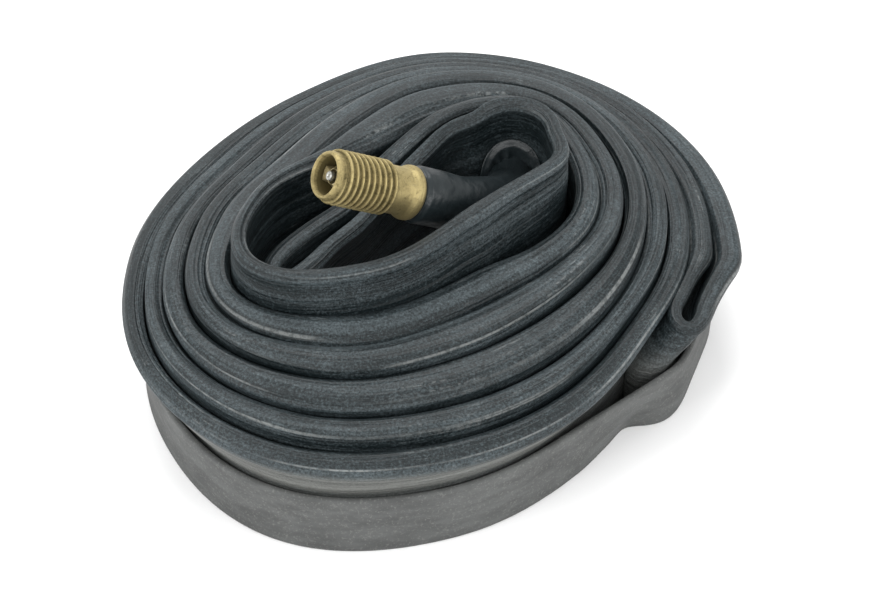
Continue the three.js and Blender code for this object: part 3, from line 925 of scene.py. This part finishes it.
    def build(self) -> Tuple[bpy.types.Object, np.ndarray]:
        """Makes the tube.

        Returns:
            The piece, and its rows for whatever lies against it.
        """
        rows = self.rows()
        length = self.step * len(rows)
        across, height = Section().corners(rows[:, 3], rows[:, 2])
        flat = self.place_corners(rows, across, height)
        widths = np.linalg.norm(np.diff(np.column_stack([across.mean(0), height.mean(0)]), axis=0), axis=1)
        v = np.concatenate([[0.0], np.cumsum(widths)])
        at = np.arange(len(rows)) * self.step
        relief = sum(
            r.relief(length, at, v)
            for r in (Ripple(11, 60.0, 5.0, 0.22), Ripple(23, 24.0, 2.2, 0.12), Ripple(37, 9.0, 1.1, 0.045))
        )
        across_v = v[None, :] - v[int(np.argmax(height.mean(0)))]
        for k, (place, width, raised) in enumerate(self.creases):
            swell = Ripple(60 + k, 45.0, 100.0, 1.0).relief(length, at, np.array([0.0]))
            wander = Ripple(80 + k, 70.0, 100.0, 0.5).relief(length, at, np.array([0.0]))
            relief += raised * (0.5 + 0.5 * swell) * np.exp(-(((across_v - place - wander) / width) ** 2))
        relief *= smooth((height - 1.5) / 4.0)
        tangent = np.roll(flat, -1, axis=1) - np.roll(flat, 1, axis=1)
        run = np.roll(flat, -1, axis=0) - np.roll(flat, 1, axis=0)
        normal = np.cross(tangent, run)
        normal /= np.linalg.norm(normal, axis=2, keepdims=True) + 1e-9
        points = flat - normal * relief[:, :, None]
        top = int(np.argmax(height.mean(0)))
        girth = v[-1] + 0.1
        v = np.append(v, girth) / girth
        piece = skin("rolled_tube", points, Ends.LOOP, np.linspace(0, 1, len(rows) + 1), v)
        face_outwards(piece)
        piece.data.materials.append(Butyl(length, girth, float(v[top])).make())
        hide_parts("tube")
        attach(piece, "roll")
        return piece, rows


# --------------------------------------------------------------------------------------------- the band
@dataclass
class RubberBand:
    """Broad band stretched round the foot of the roll.

    Attributes:
        width: Height of the band.
        thickness: Its thickness.
        clearance: Gap between the band and the strands.
        snug: How closely its lower edge follows the strands into a crevice, from 0 to 1.
        sections: Sections round it.
    """

    width: float = 10.5
    thickness: float = 0.95
    clearance: float = 0.2
    snug: float = 0.8
    sections: int = 420

    def _hull(self, points: np.ndarray) -> np.ndarray:
        """Convex outline of points in plan, anticlockwise."""
        chain: List[np.ndarray] = []
        order = points[np.lexsort((points[:, 1], points[:, 0]))]
        for half in (order, order[::-1]):
            start = len(chain)
            for p in half:
                while len(chain) - start > 1:
                    a, b = chain[-2], chain[-1]
                    if (b[0] - a[0]) * (p[1] - a[1]) - (b[1] - a[1]) * (p[0] - a[0]) > 0:
                        break
                    chain.pop()
                chain.append(p)
            chain.pop()
        return np.array(chain)

    def _reach(self, roll: Roll, rows: np.ndarray, height: float, snug: float) -> np.ndarray:
        """How far the strands reach from the roll's middle, in every direction, where the band lies on them.

        Args:
            roll: The roll that it holds.
            rows: The tube's rows.
            height: Height at which the strands are measured.
            snug: How closely crevices are followed rather than bridged.

        Returns:
            One distance for each section of the band.
        """
        half = rows[:, 3, None] / 2
        across = np.hstack([half, -half])
        feet = roll.place_corners(rows, across, np.full_like(across, height)).reshape(-1, 3)[:, :2] - roll.middle
        outline = resample_loop(self._hull(feet), 0.3)
        angle = np.linspace(0.0, TURN, self.sections, endpoint=False)

        def around(points: np.ndarray) -> np.ndarray:
            """Largest distance of the points about each direction."""
            bearing = np.arctan2(points[:, 1], points[:, 0]) % TURN
            share = np.floor(bearing / TURN * self.sections + 0.5).astype(int) % self.sections
            most = np.zeros(self.sections)
            np.maximum.at(most, share, np.linalg.norm(points, axis=1))
            known = most > 0
            return np.interp(angle, angle[known], most[known], period=TURN)

        bridged, followed = around(outline), around(feet)
        followed = np.max([np.roll(followed, k) for k in (-1, 0, 1)], axis=0)
        return blur_loop(bridged + (np.minimum(followed, bridged) - bridged) * snug, 2.2)

    def build(self, roll: Roll, rows: np.ndarray) -> bpy.types.Object:
        """Makes the band.

        Args:
            roll: The roll that it holds.
            rows: The tube's rows.

        Returns:
            The piece.
        """
        low, lip = self._reach(roll, rows, 1.5, self.snug), self._reach(roll, rows, self.width, 0.0)
        angle = np.linspace(0.0, TURN, len(low), endpoint=False)
        out = np.column_stack([np.cos(angle), np.sin(angle)])
        t = self.thickness
        round_z = np.array([0.0, 0.1, 0.35])
        up = np.linspace(0.6, self.width - 0.6, 12)
        side_z = np.concatenate([round_z, up, self.width - round_z[::-1]])
        bulge = np.array([0.32, 0.1, 0.0])
        inset = np.concatenate([bulge, np.zeros(len(up)), bulge[::-1]])
        z = np.concatenate([side_z, side_z[::-1]])
        offset = np.concatenate([t - inset, inset[::-1]]) + self.clearance
        length = float(lip.mean()) * TURN
        at = angle / TURN * length
        wave = Ripple(5, 30.0, 4.0, 0.16).relief(length, at, side_z)
        wave = np.hstack([wave, wave[:, ::-1]])
        edge = Ripple(9, 26.0, 40.0, 0.12).relief(length, at, np.array([0.0]))
        rise = smooth(z[None, :] / self.width)
        distance = low[:, None] + (lip - low)[:, None] * rise + offset[None, :] + wave
        x = out[:, 0, None] * distance + roll.middle[0]
        y = out[:, 1, None] * distance + roll.middle[1]
        height = z[None, :] + edge * smooth((z - 6.0) / 4.5)[None, :]
        piece = skin("stretched_band", np.stack([x, y, np.maximum(height, 0.0)], axis=-1), Ends.LOOP)
        face_outwards(piece)
        piece.data.materials.append(BandRubber().make())
        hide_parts("rubber_band")
        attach(piece, "roll")
        return piece


# --------------------------------------------------------------------------------------------- the valve
@dataclass
class ValveLine:
    """Axis of the brass stem, in the part's frame.

    Attributes:
        mouth: Middle of the mouth.
        axis: Direction from the mouth inwards.
    """

    mouth: Point = (-14.81, -9.73, 37.6)
    axis: Point = (0.772, 0.34, -0.538)

    def direction(self) -> Vector:
        """Unit vector from the mouth inwards."""
        return Vector(self.axis).normalized()

    def at(self, depth: float) -> np.ndarray:
        """Point on the axis at a depth below the mouth."""
        return np.array(Vector(self.mouth) + self.direction() * depth)

    def frame(self) -> Matrix:
        """Placement that takes +Z to the axis and the origin to the mouth, in metres."""
        turn = Vector((0, 0, 1)).rotation_difference(self.direction()).to_matrix().to_4x4()
        return Matrix.Translation(Vector(self.mouth) * MM) @ turn


def turned(
    name: str, line: ValveLine, profile: Sequence[Tuple[float, float]], sides: int = 64
) -> bpy.types.Object:
    """Makes a closed ring turned about the valve's axis.

    Args:
        name: Name of the piece.
        line: The valve's axis.
        profile: Corners as radius and depth, closing on themselves.
        sides: Steps round the axis.

    Returns:
        The piece.
    """
    angle = np.linspace(0, TURN, sides, endpoint=False)[:, None]
    radius = np.array([p[0] for p in profile])[None, :]
    depth = np.array([p[1] for p in profile])[None, :] + 0 * angle
    rings = np.stack([radius * np.cos(angle), radius * np.sin(angle), depth], axis=-1)
    piece = skin(name, rings, Ends.LOOP)
    piece.data.transform(line.frame())
    face_outwards(piece)
    return piece


def rounded(corners: Sequence[Tuple[float, float, float]], steps: int = 4) -> List[Tuple[float, float]]:
    """Rounds the corners of a closed profile.

    Args:
        corners: Radius, depth and rounding of each corner.
        steps: Points on each rounding.

    Returns:
        The profile's points.
    """
    result: List[Tuple[float, float]] = []
    points = [np.array(c[:2]) for c in corners]
    for i, (x, y, r) in enumerate(corners):
        here, before, after = points[i], points[i - 1], points[(i + 1) % len(points)]
        to_before, to_after = before - here, after - here
        lb, la = np.linalg.norm(to_before), np.linalg.norm(to_after)
        cut = min(r, 0.45 * lb, 0.45 * la)
        if cut <= 0:
            result.append((x, y))
            continue
        start, end = here + to_before / lb * cut, here + to_after / la * cut
        for k in range(steps + 1):
            t = k / steps
            p = start * (1 - t) ** 2 + here * 2 * t * (1 - t) + end * t * t
            result.append((float(p[0]), float(p[1])))
    return result


@dataclass
class Stem:
    """Brass stem with its outside thread, neck, collar and bore.

    Attributes:
        major: Radius over the thread.
        minor: Radius at the thread's root.
        pitch: Pitch of the thread.
        thread: Depths where the thread starts and ends.
    """

    major: float = 3.85
    minor: float = 3.38
    pitch: float = 0.94
    thread: Tuple[float, float] = (0.9, 10.2)
    sides: int = 96

    def _outside(self) -> Tuple[np.ndarray, np.ndarray]:
        """Plain radius of the outside at depths from the mouth to the collar's end."""
        depth = np.concatenate([np.linspace(0.0, 10.6, 260), np.linspace(10.68, 14.8, 60)])
        knots = (
            (0.0, 2.9), (0.06, 3.1), (0.2, 3.24), (0.5, 3.36), (10.2, 3.38), (10.6, 3.36), (12.3, 3.36),
            (12.9, 3.44), (13.3, 3.62), (13.6, 3.78), (13.9, 3.86), (14.35, 3.87), (14.6, 3.8), (14.8, 3.64),
        )
        radius = np.interp(depth, [k[0] for k in knots], [k[1] for k in knots])
        return depth, radius

    def build(self, line: ValveLine) -> bpy.types.Object:
        """Makes the stem.

        Args:
            line: The valve's axis.

        Returns:
            The piece.
        """
        depth, plain = self._outside()
        angle = np.linspace(0, TURN, self.sides, endpoint=False)[:, None]
        phase = (depth[None, :] / self.pitch - angle / TURN) % 1.0
        ridge = np.clip(1.3 - np.abs(phase - 0.5) * 4.2, 0.0, 1.0)
        ridge = smooth(ridge)
        fade = smooth((depth - self.thread[0]) / 0.7) * (1 - smooth((depth - self.thread[1] + 0.5) / 0.5))
        radius = plain[None, :] + ridge * (self.major - self.minor) * fade[None, :]
        inside = rounded([
            (2.8, 14.8, 0.05), (2.8, 26.0, 0.2), (2.0, 26.0, 0.2), (2.0, 10.4, 0.3), (2.66, 8.8, 0.3),
            (2.66, 1.3, 0.2), (2.86, 0.35, 0.1),
        ])
        tail = np.array(inside)
        radius = np.hstack([radius, tail[None, :, 0] + 0 * angle])
        depths = np.hstack([depth[None, :] + 0 * angle, tail[None, :, 1] + 0 * angle])
        rings = np.stack([radius * np.cos(angle), radius * np.sin(angle), depths], axis=-1)
        piece = skin("threaded_stem", rings, Ends.LOOP)
        piece.data.transform(line.frame())
        face_outwards(piece)
        groove = (tuple(c * MM for c in line.mouth), tuple(line.direction()))
        piece.data.materials.append(Brass(groove=groove).make("stem_brass"))
        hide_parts("valve_stem")
        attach(piece, "roll")
        return piece


@dataclass
class ValveSleeve:
    """Rubber moulded over the stem, bending down to a round patch on the wall of the innermost loop.

    Attributes:
        radius: Radius of the sleeve.
        route: Points below the brass, in the part's frame.
        wall: Middle of the pocket and the distance of its concave face.
        patch_radius: Radius of the patch.
        patch_height: Height of the patch's middle.
    """

    radius: float = 4.05
    route: Tuple[Point, ...] = ((8.89, 3.57, 20.6), (10.69, 7.87, 18.4), (11.19, 10.6, 18.0), (11.19, 12.3, 18.0))
    wall: Tuple[float, float, float] = (11.19, 8.07, 4.8)
    patch_radius: float = 6.3
    patch_height: float = 18.0
    sides: int = 48

    def _sleeve(self, line: ValveLine) -> bpy.types.Object:
        """Makes the sleeve.

        Args:
            line: The valve's axis.

        Returns:
            The piece.
        """
        straight = [line.at(d) for d in (15.0, 17.0, 20.0, 23.0)]
        route = np.array([*straight, *self.route])
        path = curve_through(np.vstack([line.at(12.0), route, route[-1] + (0, 1, 0)]), 14)
        heading = np.gradient(path, axis=0)
        heading /= np.linalg.norm(heading, axis=1, keepdims=True)
        along_mm = np.concatenate([[0.0], np.cumsum(np.linalg.norm(np.diff(path, axis=0), axis=1))])
        share = along_mm / along_mm[-1]
        angle = np.linspace(0, TURN, self.sides, endpoint=False)
        radius = self.radius * (1 - 0.06 * smooth((share - 0.1) / 0.3)) - 0.35 * (1 - smooth(along_mm / 0.8))
        rings = []
        side = Vector((0, 0, 1)).cross(Vector(heading[0])).normalized()
        for k, (p, h) in enumerate(zip(path, heading)):
            h = Vector(h)
            side = (side - h * side.dot(h)).normalized()
            other = h.cross(side)
            pinch = 0.16 * math.exp(-((share[k] - 0.62) / 0.1) ** 2)
            wrinkle = 0.03 * np.sin(3 * angle + 9 * share[k]) * smooth((share[k] - 0.3) / 0.3)
            r = radius[k] * (1.0 + wrinkle - pinch * np.cos(angle) ** 2)
            rings.append([
                np.array(p) + np.array(side) * a + np.array(other) * b
                for a, b in zip(r * np.cos(angle), r * np.sin(angle))
            ])
        return skin("valve_sleeve", np.array(rings), Ends.CAPPED)

    def _patch(self) -> bpy.types.Object:
        """Makes the patch, a disc bent to the wall, feathered at its rim and drawn up under the sleeve.

        Returns:
            The piece.
        """
        x, y, face = self.wall
        share = np.concatenate([np.linspace(0.02, 0.9, 22), [0.94, 0.97, 1.0]])
        angle = np.linspace(0, TURN, 96, endpoint=False)
        s, a = np.meshgrid(share, angle, indexing="ij")
        wide = s * self.patch_radius * np.cos(a)
        up = s * self.patch_radius * np.sin(a)
        thick = 0.75 * (1 - smooth((s - 0.86) / 0.14)) + 0.12
        thick += 1.5 * np.exp(-((s / 0.5) ** 2))
        thick += 0.28 * np.exp(-(((s - 0.62) / 0.16) ** 2)) * np.sin(9 * a + 2.0 * np.sin(3 * a))
        bend = wide / face
        reach = face - thick
        front = np.stack([x + reach * np.sin(bend), y + reach * np.cos(bend), self.patch_height + up], -1)
        back = np.stack([x + face * np.sin(bend), y + face * np.cos(bend), self.patch_height + up], -1)
        return skin("valve_patch", np.concatenate([front, back[::-1]]), Ends.CAPPED)

    def build(self, line: ValveLine) -> List[bpy.types.Object]:
        """Makes the sleeve and the patch.

        Args:
            line: The valve's axis.

        Returns:
            The pieces.
        """
        rubber = MouldedRubber().make()
        pieces = [self._sleeve(line), self._patch()]
        for piece in pieces:
            face_outwards(piece)
            piece.data.materials.append(rubber)
            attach(piece, "roll")
        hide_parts("valve_rubber")
        return pieces


@dataclass
class Core:
    """Valve core: the plug and pin that show in the mouth, and the spring that returns the pin."""

    sides: int = 48
    wire: float = 0.15
    coil: float = 0.86
    spring: Tuple[float, float] = (7.05, 12.45)
    turns: int = 6
    travel: float = 1.2

    def _pin(self, line: ValveLine) -> bpy.types.Object:
        """Makes the pin."""
        profile = rounded([
            (0.02, 0.7, 0.0), (0.66, 0.7, 0.22), (0.68, 1.35, 0.15), (0.4, 1.5, 0.05), (0.4, 6.1, 0.03),
            (0.95, 6.1, 0.1), (0.95, 6.6, 0.1), (0.4, 6.6, 0.03), (0.4, 17.0, 0.03), (0.8, 17.1, 0.1),
            (0.8, 17.5, 0.15), (0.02, 17.5, 0.0),
        ])
        return turned("pin_rod", line, profile, self.sides)

    def _plug(self, line: ValveLine) -> bpy.types.Object:
        """Makes the plug: a ring cut away on two sides to leave a driving bar."""
        angle = np.linspace(0, TURN, 96, endpoint=False)[:, None]
        profile = np.array(rounded([
            (1.0, 1.4, 0.1), (2.32, 1.4, 0.12), (2.32, 4.6, 0.1), (1.0, 4.6, 0.05),
        ], 5))
        radius = profile[None, :, 0] + 0 * angle
        depth = profile[None, :, 1] + 0 * angle
        side = np.abs(radius * np.cos(angle))
        cut = smooth((side - 1.05) / 0.18)
        depth = np.where(depth < 3.0, depth + cut * 1.7, depth)
        rings = np.stack([radius * np.cos(angle), radius * np.sin(angle), depth], axis=-1)
        piece = skin("core_top", rings, Ends.LOOP)
        piece.data.transform(line.frame())
        face_outwards(piece)
        return piece

    def _spring(self, line: ValveLine) -> bpy.types.Object:
        """Makes the spring, with its end coils closed up."""
        count = self.turns * 28
        t = np.linspace(0, 1, count)
        closed = smooth((t - 0.04) / 0.92) * 0.55 + t * 0.45
        low, high = self.spring
        angle = t * self.turns * TURN
        path = np.stack([self.coil * np.cos(angle), self.coil * np.sin(angle), low + (high - low) * closed], -1)
        heading = np.gradient(path, axis=0)
        heading /= np.linalg.norm(heading, axis=1, keepdims=True)
        out = np.stack([np.cos(angle), np.sin(angle), 0 * angle], -1)
        up = np.cross(heading, out)
        ring = np.linspace(0, TURN, 10, endpoint=False)
        rings = path[:, None, :] + self.wire * (
            out[:, None, :] * np.cos(ring)[None, :, None] + up[:, None, :] * np.sin(ring)[None, :, None]
        )
        piece = skin("return_spring", rings, Ends.CAPPED)
        piece.data.transform(line.frame())
        face_outwards(piece)
        return piece

    def build(self, line: ValveLine) -> List[bpy.types.Object]:
        """Makes the core's pieces and dresses the ones that stay as they are in the solid model.

        Args:
            line: The valve's axis.

        Returns:
            The pieces.
        """
        brass = Brass((0.42, 0.36, 0.21), (0.11, 0.095, 0.055), 0.4).make("core_brass")
        steel = Steel().make()
        seal = SealRubber().make()
        plug, pin, spring = self._plug(line), self._pin(line), self._spring(line)
        plan = (
            (plug, brass, "core_brass", "core_plug", "roll"),
            (pin, steel, "pin_steel", "core_pin", "pin"),
            (spring, steel, "pin_steel", "pin_spring", "roll"),
        )
        for piece, finish, slot, node, body in plan:
            piece.data.materials.append(finish)
            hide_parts(node)
            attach(piece, body)
        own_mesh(spring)
        for node, finish in (
            ("core_barrel", brass), ("pin_cup", brass), ("core_seal_ring", seal), ("pin_seal", seal),
        ):
            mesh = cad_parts[node].data
            mesh.materials.clear()
            mesh.materials.append(finish)
        return [plug, pin, spring]


# --------------------------------------------------------------------------------------------- the studio
@dataclass
class Studio:
    """Floor, soft lights and camera.

    Attributes:
        target: Point that the camera looks at, in millimetres.
        distance: Distance of the camera from it.
        pitch: Angle of the view below the horizontal, in degrees.
        focal: Focal length on a sensor 36 mm wide.
    """

    target: Point = (0.19, -7.33, 12.0)
    distance: float = 320.0
    pitch: float = 45.0
    focal: float = 92.48

    def floor(self) -> None:
        """Lays the floor."""
        mesh = bpy.data.meshes.new("floor")
        r = FLOOR_REACH
        mesh.from_pydata([(-r, -r, 0), (r, -r, 0), (r, r, 0), (-r, r, 0)], [], [(0, 1, 2, 3)])
        piece = bpy.data.objects.new("floor", mesh)
        bpy.context.scene.collection.objects.link(piece)
        piece.location.z = -FLOOR_DROP
        piece.data.materials.append(PaleFloor().make())

    def light(self, name: str, place: Point, size: float, power: float) -> None:
        """Hangs one soft light that faces the roll.

        Args:
            name: Name of the light.
            place: Where it hangs, in metres.
            size: Width of its square face, in metres.
            power: Power in watts.
        """
        data = bpy.data.lights.new(name, "AREA")
        data.size = size
        data.energy = power
        lamp = bpy.data.objects.new(name, data)
        lamp.location = place
        lamp.rotation_euler = (-Vector(place)).to_track_quat("-Z", "Y").to_euler()
        bpy.context.scene.collection.objects.link(lamp)

    def build(self) -> None:
        """Sets up floor, lights, surroundings and camera."""
        self.floor()
        self.light("above", (-0.1, 0.6, 0.85), 0.6, 7.0)
        self.light("front", (0.1, -0.95, 0.75), 0.5, 4.0)
        self.light("front_left", (-0.8, -0.5, 0.6), 0.5, 5.5)
        self.light("front_right", (0.8, -0.4, 0.5), 0.5, 3.0)
        world = bpy.data.worlds.new("surroundings")
        world.use_nodes = True
        world.node_tree.nodes["Background"].inputs[0].default_value = (1.0, 1.0, 1.0, 1.0)
        world.node_tree.nodes["Background"].inputs[1].default_value = WORLD_STRENGTH
        bpy.context.scene.world = world
        bpy.context.scene.view_settings.view_transform = "Standard"
        data = bpy.data.cameras.new("camera")
        data.lens = self.focal
        data.sensor_width = SENSOR_WIDTH
        data.clip_start = 0.01
        camera = bpy.data.objects.new("camera", data)
        slope = math.radians(self.pitch)
        back = Vector((0.0, -math.cos(slope), math.sin(slope))) * self.distance
        camera.location = (Vector(self.target) + back) * MM
        camera.rotation_euler = (math.pi / 2 - slope, 0.0, 0.0)
        bpy.context.scene.collection.objects.link(camera)
        bpy.context.scene.camera = camera


def main() -> None:
    """Builds the roll, its band, the valve and the studio, in that order."""
    logging.basicConfig(level=logging.INFO, format="%(name)s: %(message)s")
    Studio().build()
    roll = Roll()
    tube, rows = roll.build()
    LOG.info("tube: %d sections, %.0f mm round", len(rows), roll.step * len(rows))
    band = RubberBand().build(roll, rows)
    LOG.info("band: %d corners", len(band.data.vertices))
    line = ValveLine()
    stem = Stem().build(line)
    LOG.info("stem: %d corners", len(stem.data.vertices))
    for piece in ValveSleeve().build(line) + Core().build(line):
        LOG.info("%s: %d corners", piece.name, len(piece.data.vertices))


if __name__ == "__main__":
    main()
